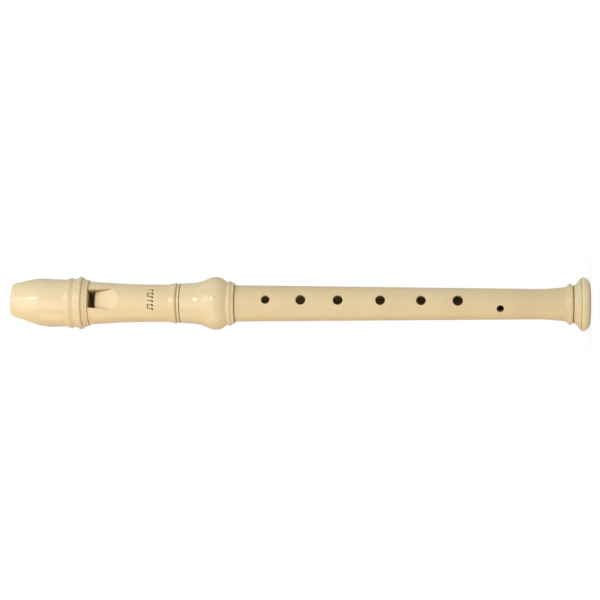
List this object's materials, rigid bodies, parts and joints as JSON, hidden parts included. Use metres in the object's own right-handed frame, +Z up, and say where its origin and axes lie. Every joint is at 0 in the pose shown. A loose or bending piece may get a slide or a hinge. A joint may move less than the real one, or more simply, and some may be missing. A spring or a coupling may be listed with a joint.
{
  "type": "soprano recorder",
  "caption": "Two-section moulded plastic soprano recorder with a beak mouthpiece, window and labium, bulbous socket joint, finger holes and a flared bell.",
  "frame": {"origin": "centre of the bell's end face", "axes": "+Z up the bore from the bell to the beak's tip; -Y is the front, with the window and the finger holes; +Y is the thumb's side; -X is the side to which the little finger's hole is turned"},
  "size_m": [0.0308, 0.0308, 0.33],
  "materials": {
    "abs_gloss": "glossy moulded ABS, warm ivory",
    "abs_satin": "fine satin moulded ABS, warm ivory",
    "seal_rubber": "greased dark rubber"
  },
  "bodies": {
    "body": {"body_tube": "abs_satin", "bell_ring": "abs_gloss"},
    "seal": {"tenon_seals": "seal_rubber"},
    "head": {"head_tube": "abs_satin", "windway_block": "abs_satin", "beak_cap": "abs_gloss", "socket_sleeve": "abs_gloss"}
  },
  "joints": [
    {"name": "head_twist", "type": "hinge", "parent": "body", "child": "seal", "pos_m": [0, 0, 0.21], "axis": [0, 0, 1], "continuous": true},
    {"name": "head_slide", "type": "slide", "parent": "seal", "child": "head", "axis": [0, 0, 1], "range_m": [0, 0.0175]}
  ]
}
